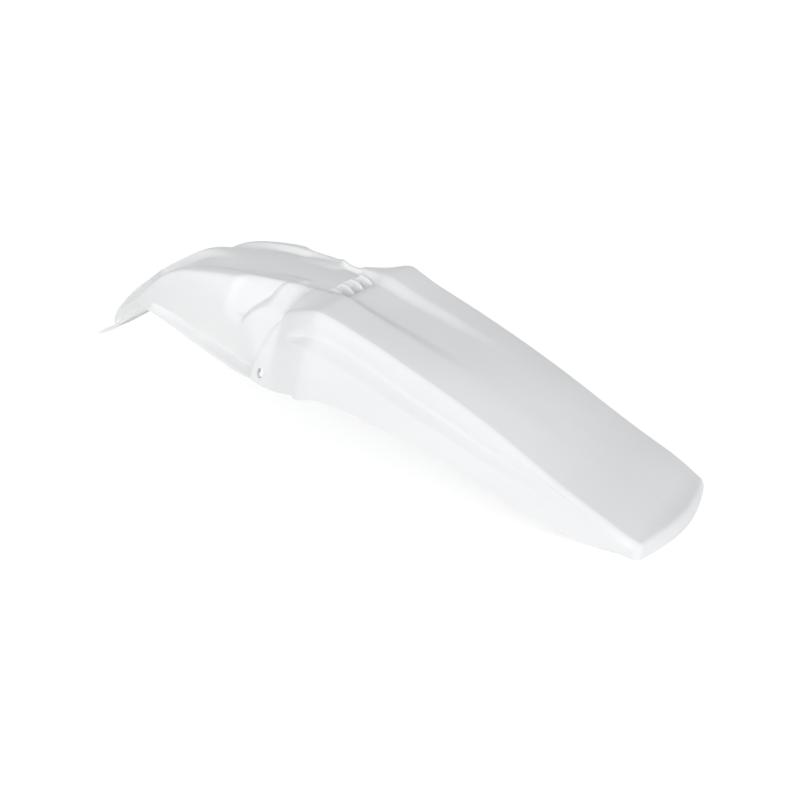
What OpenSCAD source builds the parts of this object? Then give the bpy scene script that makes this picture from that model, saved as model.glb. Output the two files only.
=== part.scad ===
// Rear fender of an off-road motorcycle, one moulded piece of thin sheet.
// X runs from the front tongue to the tail, Y across, Z up. The fender stands as it rests on a floor.
// Key sections along X give the outside skin; the inside skin lies one wall thickness below it.

/* [Sheet] */
// wall thickness of the moulding, mm
wall = 3.0; // [2.4:0.2:3.6]
// rows of points along the blade
blade_rows = 31; // [26:1:33]

/* [Blade] */
// depth of the channel in the top of the blade at its front end, mm
channel_depth = 6.0; // [2:0.5:9]
// x where the channel has run out, mm
channel_end = 185; // [120:5:240]
// depth of the long groove in each side skirt, mm
groove_depth = 4.0; // [1:0.5:6]
// half height of that groove on the skirt, as a share of the skirt
groove_half = 0.14; // [0.1:0.01:0.2]
// how far the skirt bulges outwards between crease and lower edge, mm
skirt_bulge = 3.0; // [0:0.5:6]

/* [Front] */
// depth of the scoop below the side of the hood, mm
scoop_depth = 7; // [3:0.5:9]
// how far the lip along the edges of hood and tongue turns down, mm
flange_lip = 3.0; // [1:0.5:4]
// depth of the gutters that run beside the hood's two rims, mm
gutter_depth = 6.0; // [2:0.5:8]
// height of the step where the skin of the blade stands proud of the hood, mm
step_height = 2.5; // [1:0.5:4]

// depth of the two hollows beside the spine on the middle of the nose, mm
spine_height = 11; // [4:0.5:13]

/* [Ribs] */
// spacing of the short ribs at the head of the channel, mm
rib_pitch = 15; // [12:1:16]
// thickness of one rib, mm
rib_width = 4.0; // [2:0.5:5]
// length of one rib, mm
rib_length = 20; // [14:1:26]
// how far the back of a rib arches up, mm
rib_arch = 1.5; // [0:0.5:3]

/* [Fixing] */
// radius of the bolt hole in each side of the skirt, mm
hole_r = 4.75; // [3:0.25:6]
// x of the side bolt holes, mm
hole_x = -40; // [-46:1:-32]
// height of the side bolt holes, mm
hole_z = 68; // [66:1:76]

/* [Hidden] */
skin_color = [0.93, 0.94, 0.94];

// ---- small helpers
function clamp(a, b, t) = min(b, max(a, t));
function ease(a, b, x) = let (t = clamp(0, 1, (x - a) / (b - a))) t * t * (3 - 2 * t);
function mix(a, b, t) = a + (b - a) * t;
function bump(t) = abs(t) >= 1 ? 0 : pow(1 - t * t, 2);
// place of x in a table of key stations
function spot(t, x, i = 0) = i >= len(t) - 2 || x < t[i + 1][0] ? i : spot(t, x, i + 1);
function slope(t, i, c) =
    i <= 0 ? (t[1][c] - t[0][c]) / (t[1][0] - t[0][0])
  : i >= len(t) - 1 ? (t[i][c] - t[i - 1][c]) / (t[i][0] - t[i - 1][0])
  : (t[i + 1][c] - t[i - 1][c]) / (t[i + 1][0] - t[i - 1][0]);
// smooth value of column c at x
function at(t, x, c) =
    let (i = spot(t, clamp(t[0][0], t[len(t) - 1][0], x)),
         h = t[i + 1][0] - t[i][0],
         u = clamp(0, 1, (x - t[i][0]) / h),
         u2 = u * u, u3 = u2 * u)
    (2 * u3 - 3 * u2 + 1) * t[i][c] + (u3 - 2 * u2 + u) * h * slope(t, i, c)
    + (3 * u2 - 2 * u3) * t[i + 1][c] + (u3 - u2) * h * slope(t, i + 1, c);

// ---- key stations, outside skin: [x, half width, height]
crease = [[-27, 64, 126], [-16, 66, 131], [4, 75, 138.5], [26, 79.5, 144], [40, 77, 141], [60, 75, 134],
    [97, 74, 122], [120, 74, 114], [175, 72.5, 94], [220, 72, 75], [256, 72, 57], [283, 72, 44],
    [306, 72, 34], [328, 72.2, 25], [344, 71.5, 18], [359, 69, 12], [372, 64, 9]];
lower = [[-56, 88, 58], [-21, 95, 58], [9, 101, 64], [13, 102, 64.5], [18, 105, 62.5], [41, 103, 68],
    [71, 102, 68], [94, 101, 64], [137, 98, 54.5], [167, 95, 47], [197, 92, 38], [237, 88, 24],
    [265, 85, 14], [293, 81, 6.5], [311, 78, 2.5], [328, 75, 0.2], [346, 72, 0], [360, 68, 0]];
// x and rise of the blade's top above its creases, at the middle line
crown = [[-30, 19], [-8, 12.5], [4, 8], [20, 2.8], [51, 1.6], [92, 3], [120, 4.4], [148, 6.6], [200, 8.2],
    [260, 8], [320, 6], [372, 3.6]];
// crest of the nose and hood on the middle line, then the rims beside it
deck = [[-345, 0, 38.5], [-329, 0, 52], [-320, 0, 61], [-306, 0, 71.5], [-287, 0, 84.5], [-262, 0, 102],
    [-243, 0, 113.3], [-226, 0, 122.6], [-201, 0, 136], [-177, 0, 144.5], [-155, 0, 147.6], [-129, 0, 148.2], [-100, 0, 148],
    [-60, 0, 148], [2, 0, 146.5]];
rim = [[-345, 10, 30], [-332, 14.5, 41.8], [-308, 21, 56.3], [-268, 35, 78], [-248, 41, 92], [-204, 50, 122],
    [-182, 51, 133], [-161, 51.5, 140], [-129, 51.5, 146], [-100, 50, 149], [-55, 46, 150],
    [-27, 42, 149.5], [0, 39, 148]];
root = [[-345, 13, 19.5], [-336, 13.5, 23.8], [-302, 19, 45.8], [-272, 30, 63], [-245, 42, 78],
    [-232, 45, 83], [-190, 50, 78],    [-154, 57, 73], [-119, 63, 68.5], [-83, 71, 65.5], [-56, 79, 64]];
edge = [[-375, 16, 2.6], [-352, 15, 14], [-340, 15.5, 20.7], [-322, 18, 32], [-304, 22, 43.2],
    [-280, 31.5, 56.5], [-245, 46, 75], [-232, 50, 77], [-141, 69, 66],
    [-56, 88, 59]];
// floor of the scoop, which opens the rim: [place across, share of its depth, fall below the rim]
scoop = [[3, 0, 1.7], [4, 0, 1.8], [5, 0.07, 1.5], [6, 0.27, 1.5], [7, 0.54, 2.2], [8, 0.46, 3.5],
    [9, 0.44, 5.3], [10, 0.44, 7.7], [11, 0.53, 10.9], [12, 0.61, 15], [13, 0.84, 22], [14, 0.9, 30.5], [15, 0.37, 38.2]];
// x of the seam between hood and blade, by place across the section
seam = [[0, 2], [4, 0], [7, -7], [10, -19], [12, -27], [15, -42], [18, -53], [20, -56]];

n_half = 20;
nose_x = -346;
tail_x = 375;
trench_depth = 5;
trench_end = 24;

// ---- blade section: place j from 0 on the middle line to n_half on the lower edge
function top_z(x, y) =
    let (flat = 30 * (1 - ease(20, 90, x)), t = max(0, y - flat) / (at(crease, x, 1) - 5 - flat))
    at(crease, x, 2) + 1.6 + at(crown, x, 1) * (1 - t * t);
function dip(x) =
    channel_depth * (1 - ease(20, channel_end, x)) + trench_depth * (1 - ease(8, trench_end, x));
function floor_z(x) = top_z(x, 0) - dip(x);
function groove_mid(x) = mix(0.27, 0.40, ease(0, 180, x)) - 0.36 * ease(200, 335, x);
// the groove opens as a wedge: a short upper face, then a long lower face that ends on a sharp edge
function groove_at(x, t) =
    let (half = groove_half * mix(0.35, 1, ease(-12, 50, x)), q = (t - groove_mid(x)) / half)
    groove_depth * ease(-14, 14, x) * (1 - ease(150, 335, x))
    * (q < -0.4 ? ease(-1.1, -0.4, q) : clamp(0, 1, (1 - q) / 1.4));
function blade_yz(x, j) =
    let (yc = at(crease, x, 1), zc = at(crease, x, 2), yl = at(lower, x, 1), zl = max(0, at(lower, x, 2)))
    j <= 7 ? let (y = j <= 4 ? 7 * j : 28 + 8 * (j - 4) / 3) [y, top_z(x, y) - dip(x) * (1 - ease(28, 36, y))]
  : j <= 10 ? let (y = mix(36, yc - 5, (j - 7) / 3)) [y, top_z(x, y)]
  : j <= 12 ? let (t = (j - 10) / 2) [yc - 5 + 5.6 * t, zc + 1.6 - 5.6 * t * t]
  : let (t = (j - 12) / (n_half - 12), u = ease(0, 1, t) * 0.25 + t * 0.75,
         dent = groove_at(x, u))
    [mix(yc + 0.6, yl, u) + skirt_bulge * 4 * u * (1 - u) * 0.5 - dent * 0.93,
     mix(zc - 4, zl, u) - dent * 0.36];

// ---- hood section, with the same places across
// hollows beside the spine on the middle of the nose: a short one in front, a long one behind the nose cap
function beside_spine(x) =
    spine_height * (0.36 * ease(-326, -320, x) * (1 - ease(-305, -280, x))
    + ease(-262, -256, x) * (1 - ease(-205, -125, x)));
function deck_share(x, t) = mix([0, 0.09, 0.2, 0.6, 1][t * 4], t, ease(-215, -130, x));
// shares of the side wall's height, closer together at the foot of the scoop
function wall_share(base, j) =
    mix([0, 0.165, 0.325, 0.42, 0.53, 0.75, 1][j - 12], (j - 12) / 6, ease(-50, 0, base));
// 1 inside the scoop, 0 outside, by row and place across
function in_scoop(base, j) =
    let (r = j <= 12 ? -29 : j == 13 ? -35 : j == 14 ? -41 : -44)
    (j < 3 || j > 15) ? 0 : ease(-77, -68, base) * (1 - ease(r - 5, r + 6, base));
function hood_yz(x, j, share = 0) =
    let (z0 = at(deck, x, 2), y7 = at(rim, x, 1), z7 = at(rim, x, 2), yr = at(root, x, 1),
         zr = at(root, x, 2), ye = at(edge, x, 1), ze = at(edge, x, 2),
         y4 = y7 * 0.76, open = ease(-230, -160, x), zg = z7 - gutter_depth * open + (1 - open) * 3)
    j <= 4 ? let (t = deck_share(x, j / 4), low = z0 - beside_spine(x))
        [y4 * t, j < 2 ? z0 - 0.6 * j : mix(low, min(zg, low), t * t)]
  : j <= 7 ? let (t = (j - 4) / 3, low = z0 - beside_spine(x))
        [mix(y4, y7, t), mix(min(zg, low), z7, ease(0, 1, t))]
  : j <= 10 ? let (t = (j - 7) / 3) [y7 + 2.5 * t, z7 - 1.2 * t * t]
  : j <= 12 ? let (t = (j - 10) / 2) [y7 + 2.5 + 2.5 * t, z7 - 1.2 - 4.8 * t * t]
  : j <= 18 ? let (t = share) [mix(y7 + 5, yr, t) + 2 * t * (1 - t), mix(z7 - 6, zr, t)]
  : j == 19 ? [ye - front_lip(x) * 0.5, ze] : [ye, ze - front_lip(x)];

function front_lip(x) = flange_lip * ease(-375, -358, x) * (1 - ease(-85, -45, x));
// hood skin: near the seam its upper part swells to just below the blade's skin
function hood_point(base, j) =
    let (x = base + at(seam, j, 1) * clamp(0, 1, (base + 230) / 230),
         h = hood_yz(x, j, j > 12 && j < 19 ? wall_share(base, j) : 0), b = blade_yz(x, j),
         s = in_scoop(base, j),
         bend = 8 * pow(min(j, 12) / 12, 2) * (1 - ease(14, 19, j)) * (1 - ease(nose_x, -290, base)),
         join = ease(-62, 0, base) * (1 - ease(12, 18, j)) * ease(3, 7, j),
         drop = step_height * ease(6, 9, j),
         y = mix(h[0], b[0] - drop * ease(10, 14, j), join),
         z = mix(h[1], b[1] - drop * (1 - ease(11, 14, j)), join))
    [x + bend, mix(y, h[0] - scoop_depth * at(scoop, j, 1), s), mix(z, at(rim, x, 2) - at(scoop, j, 2), s)];
// flat tongue in front of the nose
function tongue_point(base, j) =
    let (ye = at(edge, base, 1), ze = at(edge, base, 2))
    [base, ye * j / n_half, j == n_half ? ze - front_lip(base) : ze];
function front_point(base, j) = base < nose_x ? tongue_point(base, j) : hood_point(base, j);

// blade skin: rows bend back from the seam and round the tail
function tail_cut(j) =
    j <= 12 ? 12 * pow(blade_yz(tail_x, j)[0] / at(crease, tail_x, 1), 2) : 12 + 11 * (j - 12) / 8;
function blade_x(base, j) =
    base + at(seam, j, 1) * clamp(0, 1, 1 - base / 130) - tail_cut(j) * ease(290, tail_x, base);
function blade_point(base, j) =
    let (x = blade_x(base, j), s = blade_yz(x, j)) [x, s[0], s[1]];
// the tail's turned-down lip ends on one level line
function lip_point(j) =
    let (p = blade_point(tail_x - 5.5, j)) [blade_x(tail_x, j), p[1] + (j < 12 ? 0 : 0.4), 0];

front_base = [-375, -361, -347.5, -345, -336, -327, -320, -309, -298, -286, -274, -262, -256, -245, -233,
    -220, -207, -194, -181, -168, -156, -144, -133, -122, -111, -100, -91, -83, -77, -72, -67, -60, -52, -44,
    -37, -30, -24, -18, -12, -6, 0];
blade_base = [for (i = [0: blade_rows - 1]) let (t = i / (blade_rows - 1))
    mix(0.8, tail_x - 5.5, 0.62 * t + 0.38 * t * t * (2 - t))];
half_rows = concat([for (b = front_base) [for (j = [0: n_half]) front_point(b, j)]],
    [for (b = blade_base) [for (j = [0: n_half]) blade_point(b, j)]],
    [[for (j = [0: n_half]) lip_point(j)]]);
n_rows = len(half_rows);
seam_row = len(front_base) - 1;
n_across = 2 * n_half;

function mirrored(p) = [p[0], -p[1], p[2]];
// point at row i and place k from 0 (right-hand lower edge) to n_across
function skin(i, k) = k < n_half ? mirrored(half_rows[i][n_half - k]) : half_rows[i][k - n_half];
function unit(v) = v / norm(v);
// outward direction, taken on one side only at the seam
function outward(i, k) =
    let (a = i == seam_row + 1 ? i : max(0, i - 1), b = i == seam_row ? i : min(n_rows - 1, i + 1),
         c = max(0, k - 1), d = min(n_across, k + 1),
         across = skin(i, d) - skin(i, c), v = cross(skin(b, k) - skin(a, k), across))
    unit(i == n_rows - 1 ? [across[1], -across[0], 0]
       : i > seam_row && (k == 0 || k == n_across) ? [v[0], v[1], 0] : v);
// the inside of the seam's step moves one wall along x, so that the step keeps its thickness
function seam_shift(i, k) =
    (i != seam_row && i != seam_row + 1) ? 0
  : wall * clamp(-1, 1, ((skin(seam_row + 1, k) - skin(seam_row, k)) * outward(i, k)) / 2);
function inside(i, k) =
    let (p = skin(i, k) - wall * outward(i, k) + [seam_shift(i, k), 0, 0]) [p[0], p[1], max(0, p[2])];

module shell() {
    w = n_across + 1;
    outer = [for (i = [0: n_rows - 1]) for (k = [0: n_across]) skin(i, k)];
    inner = [for (i = [0: n_rows - 1]) for (k = [0: n_across]) inside(i, k)];
    o = n_rows * w;
    faces = concat(
        [for (i = [0: n_rows - 2]) for (k = [0: n_across - 1]) each
            [[i * w + k, i * w + k + 1, (i + 1) * w + k + 1],
             [i * w + k, (i + 1) * w + k + 1, (i + 1) * w + k]]],
        [for (i = [0: n_rows - 2]) for (k = [0: n_across - 1]) each
            [[o + i * w + k, o + (i + 1) * w + k + 1, o + i * w + k + 1],
             [o + i * w + k, o + (i + 1) * w + k, o + (i + 1) * w + k + 1]]],
        [for (k = [0: n_across - 1]) each
            [[k, o + k, k + 1], [k + 1, o + k, o + k + 1]]],
        [for (k = [0: n_across - 1]) let (e = (n_rows - 1) * w) each
            [[e + k, e + k + 1, o + e + k], [e + k + 1, o + e + k + 1, o + e + k]]],
        [for (i = [0: n_rows - 2]) each
            [[i * w, (i + 1) * w, o + i * w], [(i + 1) * w, o + (i + 1) * w, o + i * w]]],
        [for (i = [0: n_rows - 2]) let (e = n_across) each
            [[i * w + e, o + i * w + e, (i + 1) * w + e],
             [(i + 1) * w + e, o + i * w + e, o + (i + 1) * w + e]]]);
    polyhedron(points = concat(outer, inner), faces = faces, convexity = 12);
}

// height of the hood's deck where it ends above the trench, y from the middle line
function deck_end(y) =
    let (z0 = at(deck, -2, 2), zg = at(rim, -2, 2) - gutter_depth, y4 = at(rim, -2, 1) * 0.76)
    mix(z0, zg, pow(y / y4, 2));
// one short rib that bridges the trench behind the hood's deck
module rib(y) {
    front_z = deck_end(y) - 0.4;
    top = [for (t = [0: 0.125: 1]) [mix(0, rib_length, t),
        mix(front_z, floor_z(rib_length) - 0.4, t * t) + rib_arch * 4 * t * (1 - t)]];
    under = [for (t = [1: -0.125: 0]) let (x = mix(1, rib_length, t)) [x, floor_z(x) - wall * 0.5]];
    translate([0, y + rib_width / 2, 0]) rotate([90, 0, 0])
        linear_extrude(height = rib_width) polygon(concat(top, under));
}

module rear_fender() {
    color(skin_color) difference() {
        union() {
            shell();
            for (i = [-1.5: 1: 1.5]) rib(i * rib_pitch);
        }
        translate([hole_x, 0, hole_z]) rotate([90, 0, 0])
            cylinder(h = 240, r = hole_r, center = true, $fn = 64);
    }
}

rear_fender();
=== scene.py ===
import bpy
import math
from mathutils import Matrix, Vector


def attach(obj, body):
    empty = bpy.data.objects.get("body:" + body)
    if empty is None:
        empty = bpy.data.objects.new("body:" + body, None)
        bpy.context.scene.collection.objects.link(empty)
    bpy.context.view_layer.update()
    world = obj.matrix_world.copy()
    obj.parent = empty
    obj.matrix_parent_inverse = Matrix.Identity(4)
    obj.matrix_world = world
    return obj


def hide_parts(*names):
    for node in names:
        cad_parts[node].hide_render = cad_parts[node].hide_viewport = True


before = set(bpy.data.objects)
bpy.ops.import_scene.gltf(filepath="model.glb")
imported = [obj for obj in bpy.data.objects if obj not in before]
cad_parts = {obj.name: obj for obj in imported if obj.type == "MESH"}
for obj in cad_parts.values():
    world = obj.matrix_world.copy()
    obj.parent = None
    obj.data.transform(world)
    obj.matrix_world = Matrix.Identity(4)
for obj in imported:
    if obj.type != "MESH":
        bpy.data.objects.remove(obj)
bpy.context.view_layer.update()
print("frame loaded")

cameraSettings = {
    "place": (0.636, -0.7979, 0.533),  # metres, in the fender's own frame
    "tilt": 63.0,  # degrees from straight down
    "turn": 35.5,
    "lens": 49.14,
    "sensor": 36.0,
    "farEnd": 60.0,
}

lightSettings = {
    # low soft lamps around the front, as in a white tent: name, direction, strength
    "lamps": [("softKey", (0.62, -0.78, 0.12), 2.4), ("tailFill", (1.0, 0.0, 0.3), 0.32),
              ("noseFill", (-0.8, -0.6, 0.3), 0.55)],
    "lampSpread": 50.0,  # degrees
    "skyStrength": 0.43,
    "skyColor": (0.97, 0.985, 1.0),
    "floorGrey": 0.80,
    "floorLift": 0.62,  # added where the floor is seen, so that it looks white
    "floorHalf": 9.0,
    "floorZ": -0.0006,
}


def makeCamera(cfg):
    cam = bpy.data.cameras.new("viewCamera")
    cam.lens = cfg["lens"]
    cam.sensor_width = cfg["sensor"]
    cam.clip_end = cfg["farEnd"]
    obj = bpy.data.objects.new("viewCamera", cam)
    obj.location = cfg["place"]
    obj.rotation_euler = (math.radians(cfg["tilt"]), 0, math.radians(cfg["turn"]))
    bpy.context.scene.collection.objects.link(obj)
    bpy.context.scene.camera = obj


def shownRay(nodes, links):
    # 1 for rays that see the backdrop, also by way of gloss or glass
    path = nodes.new("ShaderNodeLightPath")
    first = nodes.new("ShaderNodeMath")
    first.operation = "MAXIMUM"
    second = nodes.new("ShaderNodeMath")
    second.operation = "MAXIMUM"
    links.new(path.outputs["Is Camera Ray"], first.inputs[0])
    links.new(path.outputs["Is Glossy Ray"], first.inputs[1])
    links.new(first.outputs[0], second.inputs[0])
    links.new(path.outputs["Is Transmission Ray"], second.inputs[1])
    return second.outputs[0]


def makeSky(cfg):
    # a soft sky lights the fender, and a plain white one is seen behind it
    world = bpy.data.worlds.new("studioWorld")
    world.use_nodes = True
    bpy.context.scene.world = world
    nodes, links = world.node_tree.nodes, world.node_tree.links
    nodes.clear()
    out = nodes.new("ShaderNodeOutputWorld")
    mixer = nodes.new("ShaderNodeMixShader")
    sky = nodes.new("ShaderNodeBackground")
    sky.inputs["Color"].default_value = (*cfg["skyColor"], 1)
    sky.inputs["Strength"].default_value = cfg["skyStrength"]
    white = nodes.new("ShaderNodeBackground")
    white.inputs["Color"].default_value = (1, 1, 1, 1)
    white.inputs["Strength"].default_value = 1.0
    links.new(shownRay(nodes, links), mixer.inputs[0])
    links.new(sky.outputs[0], mixer.inputs[1])
    links.new(white.outputs[0], mixer.inputs[2])
    links.new(mixer.outputs[0], out.inputs["Surface"])


def makeLamps(cfg):
    for name, source, strength in cfg["lamps"]:
        sun = bpy.data.lights.new(name, "SUN")
        sun.energy = strength
        sun.angle = math.radians(cfg["lampSpread"])
        lamp = bpy.data.objects.new(name, sun)
        lamp.rotation_euler = Vector(source).to_track_quat("Z", "Y").to_euler()
        bpy.context.scene.collection.objects.link(lamp)


def makePaper(cfg):
    mat = bpy.data.materials.new("studioPaper")
    mat.use_nodes = True
    nodes, links = mat.node_tree.nodes, mat.node_tree.links
    nodes.clear()
    out = nodes.new("ShaderNodeOutputMaterial")
    paper = nodes.new("ShaderNodeBsdfDiffuse")
    paper.inputs["Color"].default_value = (cfg["floorGrey"],) * 3 + (1,)
    glow = nodes.new("ShaderNodeEmission")
    glow.inputs["Color"].default_value = (1, 1, 1, 1)
    lift = nodes.new("ShaderNodeMath")
    lift.operation = "MULTIPLY"
    lift.inputs[1].default_value = cfg["floorLift"]
    both = nodes.new("ShaderNodeAddShader")
    links.new(shownRay(nodes, links), lift.inputs[0])
    links.new(lift.outputs[0], glow.inputs["Strength"])
    links.new(paper.outputs[0], both.inputs[0])
    links.new(glow.outputs[0], both.inputs[1])
    links.new(both.outputs[0], out.inputs["Surface"])
    return mat


def makeFloor(cfg):
    mesh = bpy.data.meshes.new("studioFloor")
    h, low = cfg["floorHalf"], cfg["floorZ"]
    mesh.from_pydata([(-h, -h, low), (h, -h, low), (h, h, low), (-h, h, low)], [], [(0, 1, 2, 3)])
    mesh.materials.append(makePaper(cfg))
    floor = bpy.data.objects.new("studioFloor", mesh)
    bpy.context.scene.collection.objects.link(floor)


bpy.context.scene.view_settings.view_transform = "Standard"
makeCamera(cameraSettings)
makeSky(lightSettings)
makeLamps(lightSettings)
makeFloor(lightSettings)
print("camera and studio set")

# The fender's form in millimetres, with x from the tongue's tip to the tail.
# Places across run from 0 on the middle line to 20 on the lower edge. On the hood 4 is the deck's side,
# 7 and 10 are the two sides of the rim's top and 18 is the flange's root. On the blade 12 is the crease.
sheet = {
    "wall": 3.0,
    # tongue and nose
    "tongueTip": -375.0,
    "tongueEnd": -347.5,
    "tonguePitch": 3.0,
    "tongueRows": 9,
    "noseRows": 6,
    "noseBulge": 5.0,
    "noseBow": 8.0,  # how far the nose's rows bow back at the crease
    "noseStretch": (-346.0, -290.0),
    # deck, spine and gutters of the hood
    "deckHalf": 0.76,  # share of the rim's half width
    "deckShares": [0, 0.09, 0.2, 0.6, 1],  # at places 0 to 4 in the nose, evenly spaced behind
    "deckLevel": (-215, -130),
    "spineHeight": 11.0,
    "spineFoot": (0.75, 2.0),  # places across
    "noseHollow": 0.36,  # share of the spine's height
    "noseHollowRun": (-326, -320, -305, -280),
    "longHollowRun": (-262, -256, -205, -125),
    "gutterDepth": 6.0,
    "gutterClosed": 3.0,  # height over the rim's line in front, where there is no gutter
    "gutterOpens": (-230, -160),
    # rims, sides and flanges of the hood
    "rimWidth": 5.0,
    "rimOut": 2.5,
    "rimFall": 0.8,
    "upperShare": 0.22,  # share of the side between places 10 and 12
    "sideShares": [0, 0.165, 0.325, 0.42, 0.53, 0.75, 1],  # of the rest, at 12 to 18, even at the seam
    "sideLevel": (-50, 0),
    "shoulder": 13.0,
    "shoulderFall": 0.5,
    "shoulderShare": 0.35,  # of the side's height, at most
    "sideFoot": 3.0,
    "sideFootShare": 0.1,
    "flangeLip": 3.0,
    "flangeLipRun": (-375, -358, -85, -45),
    # the scoop that opens the rim
    "scoopFront": (-82, -66),
    "scoopFrontDepth": 0.45,  # share of the full depth behind its front edge
    "scoopDeepens": (-80, -36),
    "scoopRear": [-29, -35, -41, -44],  # x of its rear edge at places 12 to 15
    "scoopRearEdge": (2.5, 4.0),  # reach before and behind that line
    # the seam between hood and blade
    "stepHeight": 2.5,
    "seamReach": 230.0,  # how far the hood's rows lean with the seam
    "seamFade": 130.0,  # the same for the blade's rows
    "swellStart": (-26, -62),  # where the hood swells towards the blade's skin, at places 8 and 12
    # channel and crown of the blade
    "channelDepth": 6.5,
    "channelFades": (20, 205),
    "channelWall": (19, 37),
    "channelHalf": (28, 36),  # half width at places 4 and 7
    "trenchDepth": 7.0,
    "trenchFades": (8, 24),
    "flatHalf": 30.0,
    "flatFades": (20, 90),
    # crease: it starts inside the crease line, a little above it, and turns over into the skirt
    "creaseInset": 5.0,
    "creaseRise": 1.6,
    "creaseRound": 5.6,
    "creaseOut": 0.6,
    "creaseFall": 4.0,
    # skirt and its groove
    "skirtBulge": 3.0,
    "skirtEase": 0.25,
    "grooveDepth": 5.5,
    "grooveAim": (0.93, 0.36),  # inwards, downwards
    "grooveHalf": 0.14,  # share of the skirt's height, as are the next three
    "grooveMiddle": (0.27, 0.40),
    "grooveClimb": 0.36,
    "grooveSpare": 0.03,
    "groovePoint": 0.35,  # share of its width at the front tip
    "grooveWedge": (-2.1, -0.4),  # where it starts and where it is deepest, in half widths
    "grooveRun": (-14, 14, 150, 335),
    "grooveWidens": (-12, 50),
    "grooveSinks": (0, 180),
    "grooveClimbs": (200, 335),
    "followRun": (2, 30, 230, 300),  # where the lines of points follow the groove
    # tail
    "tailX": 375.0,
    "tailLip": 5.5,
    "tailLipFlare": 0.4,
    "tailLipRows": 5,
    "tailBow": 12.0,  # how far its corners lie in front of its middle
    "tailSkirtCut": 11.0,  # further, at the skirt's lower edge
    "tailStretch": (290.0, 375.0),
    # rows of points: start, end, count
    "acrossRuns": [(0, 4, 16), (4, 7, 12), (7, 10, 11), (10, 12, 8), (12, 18, 28), (18, 20, 8)],
    "hoodRuns": [(-345, -327, 6), (-327, -320, 5), (-320, -264, 17), (-264, -254, 6), (-254, -80, 48),
                 (-80, -66, 9), (-66, -52, 5), (-52, -18, 18), (-18, 0, 8)],
    "bladeStart": 0.8,
    "bladePitch": 3.3,
    # where hands and straps rub it: place across and reach, and rows in front of the tail
    "rubbedCrease": (11, 1.6),
    "rubbedEdge": (20, 1.2),
    "rubbedTail": 6,
}

# lines of the form along the fender: x, half width, height
lines = {
    "crease": [(-27, 64.5, 126), (-16, 68, 131), (4, 74.5, 138.5), (26, 79.2, 144.2), (40, 77.3, 141),
               (60, 75, 134), (97, 74, 122), (120, 74, 114), (175, 72.5, 94), (220, 72, 75),
               (256, 72.4, 57.8), (283, 72.6, 45.2), (306, 72.6, 35.3), (328, 72.6, 26.2),
               (344, 71.8, 18.8), (359, 69, 12), (372, 64, 9)],
    "lower": [(-56, 88, 58), (-21, 95.5, 58), (9, 101.3, 64), (13, 102, 64.5), (18, 104.3, 62.5),
              (41, 103, 68), (71, 102, 68), (94, 101, 64), (137, 98, 54.5), (167, 95, 47), (197, 92, 38),
              (237, 88, 24), (265, 85, 14), (293, 81, 6.5), (311, 78, 2.5), (328, 75, 0.2), (346, 72, 0),
              (360, 68, 0)],
    "rim": [(-345, 10, 30), (-332, 14.5, 41.8), (-308, 21, 56.3), (-268, 35, 79), (-248, 41, 94.5),
            (-204, 50, 125.5), (-182, 51, 136.5), (-161, 51.5, 142), (-129, 51.5, 146.6), (-100, 50, 149),
            (-55, 46, 149.6), (-27, 43, 149.4), (0, 41, 147.6)],
    "root": [(-345, 13, 19.5), (-336, 13.5, 23.8), (-302, 19, 45.8), (-272, 30, 63), (-245, 42, 78),
             (-232, 45, 83), (-190, 50, 78), (-154, 57, 73), (-119, 63, 68.5), (-83, 71, 65.5),
             (-56, 79, 64)],
    "edge": [(-375, 16, 2.6), (-352, 15, 14), (-340, 15.5, 20.7), (-322, 18, 32), (-304, 22, 43.2),
             (-280, 31.5, 56.5), (-245, 46, 75), (-232, 50, 77), (-141, 69, 66), (-56, 88, 59)],
    # x, height of the spine
    "spine": [(-345, 38.5), (-329, 53), (-320, 62.5), (-306, 73), (-287, 86), (-262, 103.5),
              (-243, 114.8), (-226, 124), (-201, 137.2), (-177, 145.4), (-155, 148.3), (-129, 148.6),
              (-100, 148.2), (-60, 148), (2, 146.5)],
    # x, rise of the blade's top over its creases
    "crown": [(-30, 19), (-8, 12.5), (4, 8), (20, 2.8), (51, 1.6), (92, 3), (120, 4.4), (148, 6.6),
              (200, 8.2), (260, 8), (320, 6), (372, 3.6)],
    # place across, offset of the scoop's floor from the rim's line, fall below the rim
    "scoop": [(3, -9, 1.2), (4, -8, 1), (5, -7.4, 0.6), (6, -6.6, 0.3), (7, -5, 0.2), (8, -3, 0.6),
              (9, -1.4, 2.4), (10, 0.2, 5.6), (11, 1.6, 9.8), (12, 3.2, 15.4), (13, 5.4, 22.4),
              (14, 8.6, 29.6), (15, 12.4, 36.5)],
    # place across, x of the seam
    "seam": [(0, 2), (4, 0), (7, -7), (10, -19), (12, -27), (15, -42), (18, -53), (20, -56)],
}


def clamp(a, b, t):
    return min(b, max(a, t))


def ease(a, b, x):
    t = clamp(0, 1, (x - a) / (b - a))
    return t * t * (3 - 2 * t)


def mix(a, b, t):
    return a + (b - a) * t


def steps(keys, i):
    # straight lines between evenly spaced values
    k = int(clamp(0, len(keys) - 2, i))
    return mix(keys[k], keys[k + 1], i - k)


def hump(t):
    return 0 if abs(t) >= 1 else (1 - t * t) ** 2


def over(name, x):
    # share of the way through one of the sheet's stretches
    return ease(*sheet[name], x)


def during(name, x):
    # comes in over the first two stations of a run and goes out over the last two
    a, b, c, d = sheet[name]
    return ease(a, b, x) * (1 - ease(c, d, x))


def lineSlope(keys, i, column):
    lo, hi = max(0, i - 1), min(len(keys) - 1, i + 1)
    return (keys[hi][column] - keys[lo][column]) / (keys[hi][0] - keys[lo][0])


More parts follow.
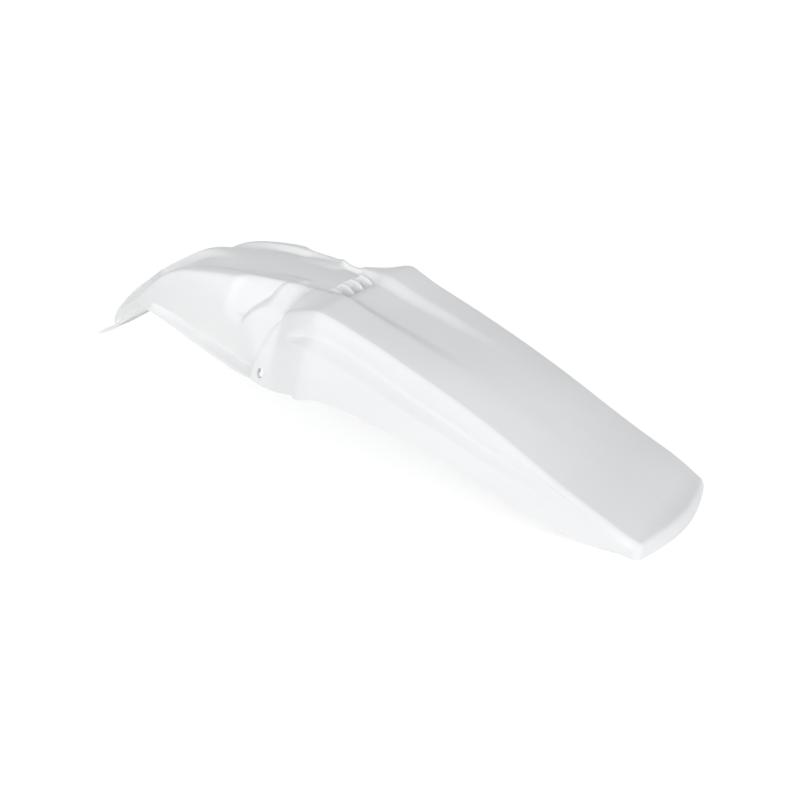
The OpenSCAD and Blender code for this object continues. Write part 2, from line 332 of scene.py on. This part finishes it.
def at(name, x, column=1):
    # smooth value of one of the lines at x
    keys = lines[name]
    x = clamp(keys[0][0], keys[-1][0], x)
    i = 0
    while i < len(keys) - 2 and x >= keys[i + 1][0]:
        i += 1
    h = keys[i + 1][0] - keys[i][0]
    u = (x - keys[i][0]) / h
    u2, u3 = u * u, u * u * u
    return ((2 * u3 - 3 * u2 + 1) * keys[i][column] + (u3 - 2 * u2 + u) * h * lineSlope(keys, i, column)
            + (3 * u2 - 2 * u3) * keys[i + 1][column] + (u3 - u2) * h * lineSlope(keys, i + 1, column))


def bladeTop(x, y):
    # height of the blade's top without its channel: flat in the middle near the seam, then crowned
    s = sheet
    flat = s["flatHalf"] * (1 - over("flatFades", x))
    t = max(0, y - flat) / (at("crease", x) - s["creaseInset"] - flat)
    return at("crease", x, 2) + s["creaseRise"] + at("crown", x) * (1 - t * t)


def channelDip(x, y):
    s = sheet
    deep = s["channelDepth"] * (1 - over("channelFades", x)) + s["trenchDepth"] * (1 - over("trenchFades", x))
    return deep * (1 - over("channelWall", y))


def grooveBand(x):
    # middle and half width of the groove, as shares of the skirt's height
    s = sheet
    middle = mix(*s["grooveMiddle"], over("grooveSinks", x)) - s["grooveClimb"] * over("grooveClimbs", x)
    return middle, s["grooveHalf"] * mix(s["groovePoint"], 1, over("grooveWidens", x))


def grooveDent(x, share):
    # a wedge: the skirt draws in below its crease, then slopes out to a sharp lower edge
    middle, half = grooveBand(x)
    top, deepest = sheet["grooveWedge"]
    q = (share - middle) / half
    depth = ease(top, deepest, q) if q < deepest else clamp(0, 1, (1 - q) / (1 - deepest))
    return sheet["grooveDepth"] * during("grooveRun", x) * depth


def skirtShare(x, j, follow):
    # share of the skirt's height at place j; the lines of points follow the groove's edges
    t = (j - 12) / 8
    evenShare = mix(t, ease(0, 1, t), sheet["skirtEase"])
    if follow <= 0:
        return evenShare
    middle, half = grooveBand(x)
    top, deepest = sheet["grooveWedge"]
    spare = sheet["grooveSpare"]
    first = max(spare, middle + top * half)
    second = max(first + spare, middle + deepest * half)
    third = max(second + spare, middle + half)
    keys = [(12, 0), (13, first), (14.75, second), (16.5, third), (20, 1)]
    i = 0
    while j > keys[i + 1][0]:
        i += 1
    (a, low), (b, high) = keys[i], keys[i + 1]
    return mix(evenShare, mix(low, high, (j - a) / (b - a)), follow)


def bladeSection(x, j, follow=0):
    # across and up at place j of the blade
    s = sheet
    yc, zc = at("crease", x), at("crease", x, 2)
    inner, outer = s["channelHalf"]
    if j <= 7:
        y = inner * j / 4 if j <= 4 else mix(inner, outer, (j - 4) / 3)
        return y, bladeTop(x, y) - channelDip(x, y)
    if j <= 10:
        y = mix(outer, yc - s["creaseInset"], (j - 7) / 3)
        return y, bladeTop(x, y)
    if j <= 12:
        t = (j - 10) / 2
        return yc - s["creaseInset"] + s["creaseRound"] * t, zc + s["creaseRise"] - s["creaseRound"] * t * t
    share = skirtShare(x, j, follow)
    dent = grooveDent(x, share)
    inwards, downwards = s["grooveAim"]
    y = mix(yc + s["creaseOut"], at("lower", x), share) + s["skirtBulge"] * 2 * share * (1 - share)
    z = mix(zc - s["creaseFall"], max(0, at("lower", x, 2)), share)
    return y - dent * inwards, z - dent * downwards


def spineHollow(x):
    # depth of the hollows beside the spine: a short one in the nose, a long one behind it
    s = sheet
    return s["spineHeight"] * (s["noseHollow"] * during("noseHollowRun", x) + during("longHollowRun", x))


def deckShare(x, j):
    return mix(steps(sheet["deckShares"], j), j / 4, over("deckLevel", x))


def sideShare(base, j):
    return mix(steps(sheet["sideShares"], j - 12), (j - 12) / 6, over("sideLevel", base))


def scoopShare(base, j):
    # 0 outside the scoop, 1 where it is deepest, in front of its rear edge
    s = sheet
    rear = steps(s["scoopRear"], clamp(0, 3, j - 12))
    before, behind = s["scoopRearEdge"]
    across = clamp(0, 1, j - 2) * clamp(0, 1, 16 - j)
    along = mix(over("scoopFront", base) * s["scoopFrontDepth"], 1, over("scoopDeepens", base))
    return across * along * (1 - ease(rear - before, rear + behind, base))


def flangeEdge(x, t):
    # the flange's edge turns down over a quarter round, half as wide as it is tall
    lip, a = sheet["flangeLip"] * during("flangeLipRun", x), t * math.pi / 2
    return at("edge", x) - lip * 0.5 * (1 - math.sin(a)), at("edge", x, 2) - lip * (1 - math.cos(a))


def sideCurve(top, foot, t):
    # the hood's side: level at the rim, a broad shoulder, then down to the flange
    s = sheet
    tall = top[1] - foot[1]
    second = (top[0] + min(s["shoulder"], s["shoulderShare"] * tall), top[1] - s["shoulderFall"])
    third = (foot[0] + min(s["sideFoot"], s["sideFootShare"] * tall), foot[1] + s["shoulderShare"] * tall)
    a, b, c, d = (1 - t) ** 3, 3 * t * (1 - t) ** 2, 3 * t * t * (1 - t), t ** 3
    return tuple(a * top[i] + b * second[i] + c * third[i] + d * foot[i] for i in (0, 1))


def hoodSection(x, j, base):
    # across and up at place j of the hood
    s = sheet
    rimY, rimZ, rootY, rootZ = at("rim", x), at("rim", x, 2), at("root", x), at("root", x, 2)
    deckY = rimY * s["deckHalf"]
    hollow = spineHollow(x)
    low = at("spine", x) - hollow
    opened = over("gutterOpens", x)
    gutter = min(low, rimZ - s["gutterDepth"] * opened + (1 - opened) * s["gutterClosed"])
    ridgeY = rimY - s["rimWidth"] * opened
    outerY = rimY + s["rimOut"]
    if j <= 4:
        t = deckShare(x, j)
        return deckY * t, mix(low, gutter, t * t) + hollow * (1 - over("spineFoot", j))
    if j <= 7:
        t = (j - 4) / 3
        return mix(deckY, ridgeY, t), mix(gutter, rimZ, ease(0, 1, t))
    if j <= 10:
        t = (j - 7) / 3
        return mix(ridgeY, outerY, t), rimZ - s["rimFall"] * t * t
    if j <= 18:
        t = s["upperShare"] * (j - 10) / 2 if j <= 12 else mix(s["upperShare"], 1, sideShare(base, j))
        return sideCurve((outerY, rimZ - s["rimFall"]), (rootY, rootZ), t)
    if j <= 19:
        start = flangeEdge(x, 0)
        return mix(rootY, start[0], j - 18), mix(rootZ, start[1], j - 18)
    return flangeEdge(x, j - 19)


def hoodPoint(base, j):
    # near the seam the hood's upper part swells to just below the blade's skin;
    # the pairs of plain numbers are places across
    s = sheet
    x = base + at("seam", j) * clamp(0, 1, (base + s["seamReach"]) / s["seamReach"])
    hood, blade = hoodSection(x, j, base), bladeSection(x, j)
    bow = s["noseBow"] * (min(j, 12) / 12) ** 2 * (1 - ease(14, 19, j)) * (1 - over("noseStretch", base))
    swell = ease(mix(*s["swellStart"], ease(8, 12, j)), 0, base) * (1 - ease(12, 18, j)) * ease(3, 7, j)
    step = s["stepHeight"] * ease(6, 9, j)
    y = mix(hood[0], blade[0] - step * ease(10, 14, j), swell)
    z = mix(hood[1], blade[1] - step * (1 - ease(11, 14, j)), swell)
    scooped = scoopShare(base, j)
    floorY = mix(hood[0], at("rim", x) + at("scoop", j), ease(4, 7, j))
    return x + bow, mix(y, floorY, scooped), mix(z, at("rim", x, 2) - at("scoop", j, 2), scooped)


def tonguePoint(base, j):
    # flat up to one wall's thickness from its edge
    start = flangeEdge(base, 0)
    flat = at("edge", base) - sheet["wall"]
    if j <= 18:
        return base, flat * j / 18, start[1]
    if j <= 19:
        return base, mix(flat, start[0], j - 18), start[1]
    return (base, *flangeEdge(base, j - 19))


def nosePoint(t, j):
    # the nose's front bulges forward between the tongue and the first row of the hood
    a, b = tonguePoint(sheet["tongueEnd"], j), hoodPoint(sheet["hoodRuns"][0][0], j)
    push = sheet["noseBulge"] * math.sin(math.pi * t) * (1 - ease(9, 16, j))
    return mix(a[0], b[0], t) - push, mix(a[1], b[1], t), mix(a[2], b[2], t)


def bladeX(base, j):
    # rows lean with the seam in front and bow with the tail's outline behind
    s = sheet
    if j <= 12:
        cut = s["tailBow"] * (bladeSection(s["tailX"], j)[0] / at("crease", s["tailX"])) ** 2
    else:
        cut = s["tailBow"] + s["tailSkirtCut"] * (j - 12) / 8
    return base + at("seam", j) * clamp(0, 1, 1 - base / s["seamFade"]) - cut * over("tailStretch", base)


def bladePoint(base, j):
    x = bladeX(base, j)
    return (x, *bladeSection(x, j, during("followRun", base)))


def lipPoint(t, j):
    # the tail turns down over a rounded lip to one level line
    s = sheet
    top = bladePoint(s["tailX"] - s["tailLip"], j)
    out, down = math.sin(t * math.pi / 2), 1 - math.cos(t * math.pi / 2)
    flare = s["tailLipFlare"] * out if j > 12 else 0
    return mix(top[0], bladeX(s["tailX"], j), out), top[1] + flare, top[2] * (1 - down)


def chain(runs):
    # evenly spaced values along runs of start, end and count, with the last end
    return [a + (b - a) * i / count for a, b, count in runs for i in range(count)] + [runs[-1][1]]


def makeRows():
    # rows of points over one half of the outside, from the tongue's tip to the tail's lip
    s = sheet
    across = chain(s["acrossRuns"])
    tongue = [s["tongueTip"] + s["tonguePitch"] * i for i in range(s["tongueRows"])] + [s["tongueEnd"]]
    nose = [k / s["noseRows"] for k in range(1, s["noseRows"])]
    bladeEnd = s["tailX"] - s["tailLip"]
    blade = chain([(s["bladeStart"], bladeEnd, int(bladeEnd / s["bladePitch"]))])
    lip = [k / s["tailLipRows"] for k in range(1, s["tailLipRows"] + 1)]
    rows = []
    for point, bases in ((tonguePoint, tongue), (nosePoint, nose), (hoodPoint, chain(s["hoodRuns"])),
                         (bladePoint, blade), (lipPoint, lip)):
        rows += [[point(base, j) for j in across] for base in bases]
        if point is hoodPoint:
            seamRow = len(rows) - 1
    return rows, seamRow, across


def wholeRow(row):
    # the half row and its mirror image
    pts = [Vector(p) for p in row]
    return [Vector((p.x, -p.y, p.z)) for p in reversed(pts[1:])] + pts


def innerPoint(skin, seamRow, i, k):
    # one wall thickness below the outside; at the seam each row keeps its own slope, and the inner step
    # lies further back
    last, width = len(skin) - 1, len(skin[0]) - 1
    a = i if i == seamRow + 1 else max(0, i - 1)
    b = i if i == seamRow else min(last, i + 1)
    side = skin[i][min(width, k + 1)] - skin[i][max(0, k - 1)]
    out = (skin[b][k] - skin[a][k]).cross(side)
    if i == last:
        out = Vector((side.y, -side.x, 0))
    elif i > seamRow and k in (0, width):
        out.z = 0
    out.normalize()
    shift = 0
    if i in (seamRow, seamRow + 1):
        gap = (skin[seamRow + 1][k] - skin[seamRow][k]).dot(out)
        shift = sheet["wall"] * clamp(-1, 1, gap / 2)
    q = skin[i][k] - sheet["wall"] * out + Vector((shift, 0, 0))
    q.z = max(0, q.z)
    return q


def shellFaces(rows, w):
    # two skins of w points across, joined along all four borders, with every face turned outwards
    inner, width, last = rows * w, w - 1, rows - 1
    faces = []
    for i in range(last):
        for k in range(width):
            a = i * w + k
            b = inner + a
            faces.append((a, a + w, a + w + 1, a + 1))
            faces.append((b, b + 1, b + w + 1, b + w))
    for k in range(width):
        faces.append((k, k + 1, inner + k + 1, inner + k))
        e = last * w + k
        faces.append((e, inner + e, inner + e + 1, e + 1))
    for i in range(last):
        a = i * w
        faces.append((a, inner + a, inner + a + w, a + w))
        b = a + width
        faces.append((b, b + w, inner + b + w, inner + b))
    return faces


def rubbedShare(j, rowsToTail):
    crease, creaseReach = sheet["rubbedCrease"]
    edge, edgeReach = sheet["rubbedEdge"]
    return max(hump((j - crease) / creaseReach), hump((j - edge) / edgeReach),
               hump(rowsToTail / sheet["rubbedTail"]))


metresPerUnit = 0.001


def makeSheetMesh():
    half, seamRow, across = makeRows()
    skin = [wholeRow(row) for row in half]
    rows, w = len(skin), len(skin[0])
    inner = [[innerPoint(skin, seamRow, i, k) for k in range(w)] for i in range(rows)]
    verts = [v * metresPerUnit for side in (skin, inner) for row in side for v in row]
    mesh = bpy.data.meshes.new("rearFenderShell")
    mesh.from_pydata(verts, [], shellFaces(rows, w))
    middle = len(across) - 1
    wear = [rubbedShare(across[abs(k - middle)], rows - 1 - i) for i in range(rows) for k in range(w)]
    rubbed = mesh.attributes.new("rubbed", "FLOAT", "POINT")
    rubbed.data.foreach_set("value", wear + [0.0] * len(wear))
    mesh.validate()
    return mesh


shellMesh = makeSheetMesh()
shell = bpy.data.objects.new("fenderShell", shellMesh)
bpy.context.scene.collection.objects.link(shell)
print("shell mesh", len(shellMesh.vertices), "vertices")

plastic = {
    "color": (0.90, 0.905, 0.905),
    "shade": (0.865, 0.872, 0.876),  # where the flow marks lie
    "roughness": 0.33,
    "innerRoughness": 0.52,
    "flowRoughness": 0.05,
    "rubRoughness": 0.12,
    "ior": 1.49,
    "grainScale": 900.0,
    "grainDetail": 3.0,
    "grainRoughness": 0.6,
    "grainDepth": 0.00003,
    "innerGrainDepth": 0.00008,
    "flowScale": 9.0,
    "flowDetail": 2.0,
    "flowWarp": 0.6,
    "flowStretch": (0.45, 1.5, 1.5),
    "flowRange": (0.35, 0.65),
}


def makeMouldGrain(cfg):
    # the mould's fine sprayed texture as a height, and slow flow marks as a mask
    group = bpy.data.node_groups.new("mouldGrain", "ShaderNodeTree")
    face = group.interface
    grainSize = face.new_socket("Grain Scale", in_out="INPUT", socket_type="NodeSocketFloat")
    grainSize.default_value = cfg["grainScale"]
    flowSize = face.new_socket("Flow Scale", in_out="INPUT", socket_type="NodeSocketFloat")
    flowSize.default_value = cfg["flowScale"]
    face.new_socket("Height", in_out="OUTPUT", socket_type="NodeSocketFloat")
    face.new_socket("Flow", in_out="OUTPUT", socket_type="NodeSocketFloat")
    nodes, links = group.nodes, group.links
    given, out = nodes.new("NodeGroupInput"), nodes.new("NodeGroupOutput")
    coord = nodes.new("ShaderNodeTexCoord")
    fine = nodes.new("ShaderNodeTexNoise")
    fine.inputs["Detail"].default_value = cfg["grainDetail"]
    fine.inputs["Roughness"].default_value = cfg["grainRoughness"]
    slow = nodes.new("ShaderNodeTexNoise")
    slow.inputs["Detail"].default_value = cfg["flowDetail"]
    slow.inputs["Distortion"].default_value = cfg["flowWarp"]
    stretch = nodes.new("ShaderNodeMapping")
    stretch.inputs["Scale"].default_value = cfg["flowStretch"]
    links.new(coord.outputs["Object"], fine.inputs["Vector"])
    links.new(coord.outputs["Object"], stretch.inputs["Vector"])
    links.new(stretch.outputs[0], slow.inputs["Vector"])
    links.new(given.outputs["Grain Scale"], fine.inputs["Scale"])
    links.new(given.outputs["Flow Scale"], slow.inputs["Scale"])
    soft = nodes.new("ShaderNodeMapRange")
    soft.inputs["From Min"].default_value, soft.inputs["From Max"].default_value = cfg["flowRange"]
    links.new(slow.outputs["Fac"], soft.inputs["Value"])
    links.new(fine.outputs["Fac"], out.inputs["Height"])
    links.new(soft.outputs[0], out.inputs["Flow"])
    return group


def addScaled(nodes, links, source, scale):
    # source times scale, plus what is given to the third input
    node = nodes.new("ShaderNodeMath")
    node.operation = "MULTIPLY_ADD"
    node.inputs[1].default_value = scale
    links.new(source, node.inputs[0])
    return node


def makePlastic(name, cfg, grain, roughness, depth, rubbed):
    mat = bpy.data.materials.new(name)
    mat.use_nodes = True
    nodes, links = mat.node_tree.nodes, mat.node_tree.links
    bsdf = nodes["Principled BSDF"]
    bsdf.inputs["IOR"].default_value = cfg["ior"]
    texture = nodes.new("ShaderNodeGroup")
    texture.node_tree = grain
    texture.inputs["Grain Scale"].default_value = cfg["grainScale"]
    texture.inputs["Flow Scale"].default_value = cfg["flowScale"]
    tone = nodes.new("ShaderNodeMix")
    tone.data_type = "RGBA"
    tone.inputs["A"].default_value = (*cfg["color"], 1)
    tone.inputs["B"].default_value = (*cfg["shade"], 1)
    links.new(texture.outputs["Flow"], tone.inputs["Factor"])
    links.new(tone.outputs["Result"], bsdf.inputs["Base Color"])
    rough = addScaled(nodes, links, texture.outputs["Flow"], cfg["flowRoughness"])
    rough.inputs[2].default_value = roughness
    if rubbed:
        mask = nodes.new("ShaderNodeAttribute")
        mask.attribute_name = "rubbed"
        worn = addScaled(nodes, links, mask.outputs["Fac"], cfg["rubRoughness"])
        links.new(rough.outputs[0], worn.inputs[2])
        rough = worn
    links.new(rough.outputs[0], bsdf.inputs["Roughness"])
    relief = nodes.new("ShaderNodeBump")
    relief.inputs["Strength"].default_value = 1.0
    relief.inputs["Distance"].default_value = depth
    links.new(texture.outputs["Height"], relief.inputs["Height"])
    links.new(relief.outputs[0], bsdf.inputs["Normal"])
    return mat


mouldGrain = makeMouldGrain(plastic)
outerPlastic = makePlastic("glossWhitePlastic", plastic, mouldGrain, plastic["roughness"],
                           plastic["grainDepth"], True)
innerPlastic = makePlastic("mattWhitePlastic", plastic, mouldGrain, plastic["innerRoughness"],
                           plastic["innerGrainDepth"], False)
shellMesh.materials.append(outerPlastic)
shellMesh.materials.append(innerPlastic)
firstInner = len(shellMesh.vertices) // 2
for f in shellMesh.polygons:
    f.use_smooth = True
    if min(f.vertices) >= firstInner:
        f.material_index = 1
print("plastic ready")

# short ribs across the head of the channel, in metres; these are the tree's named inputs
ribRow = {
    "Count": 4,
    "Pitch": 0.015,
    "Width": 0.003,
    "Length": 0.018,
    "Front Height": 0.1461,
    "Back Height": 0.1382,
    "Foot Height": 0.1322,
    "Arch": 0.0015,
    "Segments": 16,
}
ribEdge = {"round": 0.0011, "segments": 3, "sharperThan": 50, "shadeSharp": 40}


def makeCalc(nodes, links):
    # adds one math node; each value is a number or another node's output
    def calc(kind, *values):
        node = nodes.new("ShaderNodeMath")
        node.operation = kind
        for socket, value in zip(node.inputs, values):
            if isinstance(value, (int, float)):
                socket.default_value = value
            else:
                links.new(value, socket)
        return node.outputs[0]
    return calc


def vectorOf(nodes, links, **parts):
    node = nodes.new("ShaderNodeCombineXYZ")
    for axis, value in parts.items():
        links.new(value, node.inputs[axis])
    return node.outputs[0]


def makeOneRib(nodes, links, size, calc):
    # an upright wall with an arched crest that falls towards the channel, closed on all sides
    grid = nodes.new("GeometryNodeMeshGrid")
    grid.inputs["Size X"].default_value = 1
    grid.inputs["Size Y"].default_value = 1
    grid.inputs["Vertices Y"].default_value = 2
    links.new(size["Segments"], grid.inputs["Vertices X"])
    place = nodes.new("GeometryNodeInputPosition")
    parts = nodes.new("ShaderNodeSeparateXYZ")
    links.new(place.outputs[0], parts.inputs[0])
    along = calc("ADD", parts.outputs["X"], 0.5)
    up = calc("ADD", parts.outputs["Y"], 0.5)
    square = calc("MULTIPLY", along, along)
    fall = calc("SUBTRACT", size["Back Height"], size["Front Height"])
    line = calc("MULTIPLY_ADD", square, fall, size["Front Height"])
    arch = calc("MULTIPLY", calc("SUBTRACT", along, square), 4)
    crest = calc("MULTIPLY_ADD", arch, size["Arch"], line)
    tall = calc("SUBTRACT", crest, size["Foot Height"])
    move = nodes.new("GeometryNodeSetPosition")
    links.new(grid.outputs["Mesh"], move.inputs["Geometry"])
    links.new(vectorOf(nodes, links, X=calc("MULTIPLY", along, size["Length"]),
                       Z=calc("MULTIPLY_ADD", tall, up, size["Foot Height"])), move.inputs["Position"])
    # the moved grid faces -Y: as it is, it closes the rib's near side, and turned round it is drawn out to +Y
    turned = nodes.new("GeometryNodeFlipFaces")
    links.new(move.outputs[0], turned.inputs["Mesh"])
    thick = nodes.new("GeometryNodeExtrudeMesh")
    thick.inputs["Individual"].default_value = False
    thick.inputs["Offset Scale"].default_value = 1
    links.new(turned.outputs[0], thick.inputs["Mesh"])
    links.new(vectorOf(nodes, links, Y=size["Width"]), thick.inputs["Offset"])
    whole = nodes.new("GeometryNodeJoinGeometry")
    links.new(thick.outputs["Mesh"], whole.inputs[0])
    links.new(move.outputs[0], whole.inputs[0])
    weld = nodes.new("GeometryNodeMergeByDistance")
    weld.inputs["Distance"].default_value = 0.00001
    links.new(whole.outputs[0], weld.inputs["Geometry"])
    return weld.outputs[0]


def makeRibTree(material):
    tree = bpy.data.node_groups.new("ribRow", "GeometryNodeTree")
    face = tree.interface
    face.new_socket("Geometry", in_out="OUTPUT", socket_type="NodeSocketGeometry")
    for key, value in ribRow.items():
        kind = "NodeSocketInt" if isinstance(value, int) else "NodeSocketFloat"
        face.new_socket(key, in_out="INPUT", socket_type=kind).default_value = value
    nodes, links = tree.nodes, tree.links
    given, out = nodes.new("NodeGroupInput"), nodes.new("NodeGroupOutput")
    size, calc = given.outputs, makeCalc(nodes, links)
    rib = makeOneRib(nodes, links, size, calc)
    row = nodes.new("GeometryNodeMeshLine")
    links.new(size["Count"], row.inputs["Count"])
    links.new(vectorOf(nodes, links, Y=size["Pitch"]), row.inputs["Offset"])
    gaps = calc("SUBTRACT", size["Count"], 1)
    first = calc("MULTIPLY", calc("MULTIPLY", gaps, size["Pitch"]), -0.5)
    halfRib = calc("MULTIPLY", size["Width"], -0.5)
    links.new(vectorOf(nodes, links, Y=calc("ADD", first, halfRib)), row.inputs["Start Location"])
    copies = nodes.new("GeometryNodeInstanceOnPoints")
    links.new(row.outputs[0], copies.inputs["Points"])
    links.new(rib, copies.inputs["Instance"])
    real = nodes.new("GeometryNodeRealizeInstances")
    links.new(copies.outputs[0], real.inputs[0])
    paint = nodes.new("GeometryNodeSetMaterial")
    paint.inputs["Material"].default_value = material
    links.new(real.outputs[0], paint.inputs["Geometry"])
    links.new(paint.outputs[0], out.inputs["Geometry"])
    return tree


def makeRibs(material, cfg):
    tree = makeRibTree(material)
    obj = bpy.data.objects.new("channelRibs", bpy.data.meshes.new("channelRibs"))
    bpy.context.scene.collection.objects.link(obj)
    geo = obj.modifiers.new("ribs", "NODES")
    geo.node_group = tree
    for item in tree.interface.items_tree:
        if item.item_type == "SOCKET" and item.in_out == "INPUT":
            geo[item.identifier] = ribRow[item.name]
    soften = obj.modifiers.new("soften", "BEVEL")
    soften.width = cfg["round"]
    soften.segments = cfg["segments"]
    soften.limit_method = "ANGLE"
    soften.angle_limit = math.radians(cfg["sharperThan"])
    return obj


def bake(obj):
    # the evaluated result becomes the object's own plain mesh
    bpy.context.view_layer.update()
    shot = obj.evaluated_get(bpy.context.evaluated_depsgraph_get())
    mesh = bpy.data.meshes.new_from_object(shot)
    mesh.name = obj.name
    obj.modifiers.clear()
    obj.data = mesh
    return obj


def smooth(obj, sharpAngle):
    for f in obj.data.polygons:
        f.use_smooth = True
    obj.data.set_sharp_from_angle(angle=math.radians(sharpAngle))


ribs = bake(makeRibs(outerPlastic, ribEdge))
smooth(ribs, ribEdge["shadeSharp"])
print("ribs", len(ribs.data.polygons), "faces")

# bolt hole, in metres; the reach is half the drill's length
bolt = {
    "radius": 0.00475,
    "x": -0.040,
    "z": 0.068,
    "reach": 0.125,
    "sides": 64,
}
shellEdge = {"round": 0.0006, "segments": 2, "sharperThan": 55, "shadeSharp": 38}


def drillShell(obj, cfg, edge):
    # one drill cuts the bolt hole of both sides
    bpy.ops.mesh.primitive_cylinder_add(vertices=cfg["sides"], radius=cfg["radius"], depth=2 * cfg["reach"],
                                        location=(cfg["x"], 0, cfg["z"]), rotation=(math.pi / 2, 0, 0))
    drill = bpy.context.object
    drill.data.materials.append(outerPlastic)
    soften = obj.modifiers.new("softEdges", "BEVEL")
    soften.width = edge["round"]
    soften.segments = edge["segments"]
    soften.limit_method = "ANGLE"
    soften.angle_limit = math.radians(edge["sharperThan"])
    cut = obj.modifiers.new("boltHoles", "BOOLEAN")
    cut.operation = "DIFFERENCE"
    cut.solver = "MANIFOLD"
    cut.object = drill
    bake(obj)
    bpy.data.objects.remove(drill)


drillShell(shell, bolt, shellEdge)
smooth(shell, shellEdge["shadeSharp"])
print("shell drilled", len(shell.data.polygons), "faces")

for piece in (shell, ribs):
    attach(piece, "root")
    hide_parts("rear_fender")

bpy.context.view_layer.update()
